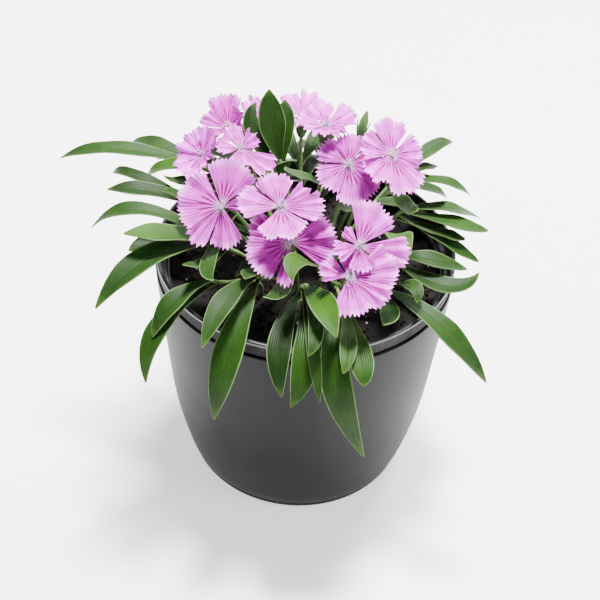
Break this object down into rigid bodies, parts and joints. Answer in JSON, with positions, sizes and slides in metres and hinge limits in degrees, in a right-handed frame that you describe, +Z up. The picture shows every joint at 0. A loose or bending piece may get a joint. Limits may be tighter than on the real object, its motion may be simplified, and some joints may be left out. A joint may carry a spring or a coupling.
{
  "type": "potted dianthus plant",
  "caption": "Dianthus plant with toothed lilac-pink blooms and narrow leaves, in a black grow pot that hangs in a tapering dark grey planter.",
  "frame": {"origin": "middle of the planter's flat base", "axes": "+Z up along the planter's axis, -Y towards the side that the picture was taken from, +X to its right"},
  "size_m": [0.2019, 0.1741, 0.1954],
  "materials": {
    "planter_plastic": "smooth matte dark grey",
    "grow_pot_plastic": "thin glossy black",
    "soil": "dark crumbly peat",
    "leaf": "satin green with a pale edge",
    "petal": "velvety pale lilac pink with darker streaks"
  },
  "bodies": {
    "root": {"planter": "planter_plastic", "grow_pot": "grow_pot_plastic", "soil": "soil", "leafy_stem_01": "leaf", "leafy_stem_02": "leaf", "leafy_stem_03": "leaf", "leafy_stem_04": "leaf", "leafy_stem_05": "leaf", "leafy_stem_06": "leaf", "leafy_stem_07": "leaf", "leafy_stem_08": "leaf", "leafy_stem_09": "leaf", "leafy_stem_10": "leaf", "leafy_stem_11": "leaf", "leafy_stem_12": "leaf", "leafy_stem_13": "leaf", "leafy_stem_14": "leaf", "leafy_stem_15": "leaf", "leafy_stem_16": "leaf", "leafy_stem_17": "leaf", "leafy_stem_18": "leaf", "leafy_stem_19": "leaf", "leafy_stem_20": "leaf", "leafy_stem_21": "leaf", "leafy_stem_22": "leaf", "leafy_stem_23": "leaf", "leafy_stem_24": "leaf", "leafy_stem_25": "leaf", "leafy_stem_26": "leaf", "leafy_stem_27": "leaf", "leafy_stem_28": "leaf", "leafy_stem_29": "leaf", "bloom_front_left": "petal", "bloom_front_middle": "petal", "bloom_front_low": "petal", "bloom_front_right": "petal", "bloom_right_low": "petal", "bloom_middle": "petal", "bloom_right": "petal", "bloom_rear_middle": "petal", "bloom_rear_high": "petal", "bloom_rear_left": "petal", "bloom_left": "petal", "bloom_left_middle": "petal", "bloom_rear_small": "petal"}
  },
  "joints": []
}
